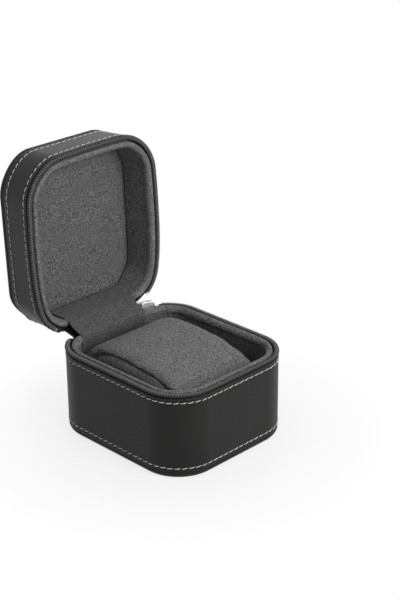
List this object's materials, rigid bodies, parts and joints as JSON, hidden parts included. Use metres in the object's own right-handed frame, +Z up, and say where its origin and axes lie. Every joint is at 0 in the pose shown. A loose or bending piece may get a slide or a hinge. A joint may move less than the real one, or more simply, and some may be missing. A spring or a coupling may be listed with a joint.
{
  "type": "watch travel case",
  "caption": "Zipped leather-covered travel case for one wrist watch: deep box, hinged lid opened past upright, suede lining and a loose stadium-ended suede cushion.",
  "frame": {"origin": "centre of the base's underside", "axes": "+Z up, -Y towards the front where the zipper opens, lid hinged at the back (+Y)"},
  "size_m": [0.0914, 0.1405, 0.1488],
  "materials": {
    "leather": "smooth black leatherette, soft gloss",
    "board": "grey board",
    "foam": "open foam",
    "thread": "off-white sewing thread",
    "zipper_tape": "woven tape",
    "zipper_coil": "nylon coil",
    "bright_metal": "plated zinc",
    "black_metal": "gloss black enamel on metal",
    "lining_suede": "brushed grey suede",
    "cushion_suede": "brushed grey suede",
    "cushion_end_suede": "brushed grey suede"
  },
  "bodies": {
    "base": {"base_bottom_cover": "leather", "base_bottom_board": "board", "base_wall_board": "board", "base_side_leather": "leather", "base_wall_foam": "foam", "base_wall_lining": "lining_suede", "base_floor_pad": "foam", "base_floor_lining": "lining_suede", "base_rim_lip": "lining_suede", "base_zipper_tape": "zipper_tape", "base_zipper_teeth": "zipper_coil", "base_zipper_stops": "bright_metal", "base_stitches_lower": "thread", "base_stitches_upper": "thread", "hinge_leather_strip": "leather", "hinge_lining_flap": "lining_suede", "zipper_tape_ends": "zipper_tape"},
    "lid": {"lid_side_leather": "leather", "lid_top_panel": "leather", "lid_top_board": "board", "lid_top_foam": "foam", "lid_wall_board": "board", "lid_wall_foam": "foam", "lid_wall_lining": "lining_suede", "lid_pad": "foam", "lid_panel_lining": "lining_suede", "lid_rim_lip": "lining_suede", "lid_zipper_tape": "zipper_tape", "lid_zipper_teeth": "zipper_coil", "lid_zipper_stops": "bright_metal", "lid_stitches_lower": "thread", "lid_stitches_upper": "thread", "lid_stitches_top": "thread"},
    "cushion": {"cushion_cover": "cushion_suede", "cushion_core": "foam", "cushion_end_panels": "cushion_end_suede"},
    "slider": {"slider_body": "bright_metal", "slider_bridge": "black_metal"},
    "pull_link": {"pull_link": "black_metal"},
    "pull_tab": {"pull_tab": "black_metal"}
  },
  "joints": [
    {"name": "lid_hinge", "type": "hinge", "parent": "base", "child": "lid", "pos_m": [0, 0.0515, 0.0466], "axis": [1, 0, 0], "range_deg": [0, 92.3], "deforming": ["hinge_leather_strip", "hinge_lining_flap"]},
    {"name": "cushion_lift", "type": "slide", "parent": "base", "child": "cushion", "axis": [0, 0, 1], "range_m": [0, 0.018]},
    {"name": "slider_travel", "type": "hinge", "parent": "base", "child": "slider", "pos_m": [0.022, 0.0275, 0.0498], "axis": [0, 0, -1], "range_deg": [0, 62]},
    {"name": "pull_link_swing", "type": "hinge", "parent": "slider", "child": "pull_link", "pos_m": [0.02816, 0.05219, 0.0482], "axis": [0.9703, -0.2419, 0], "range_deg": [0, 60]},
    {"name": "pull_tab_swing", "type": "hinge", "parent": "pull_link", "child": "pull_tab", "pos_m": [0.02816, 0.05219, 0.0398], "axis": [0.9703, -0.2419, 0], "range_deg": [-6, 40]}
  ]
}
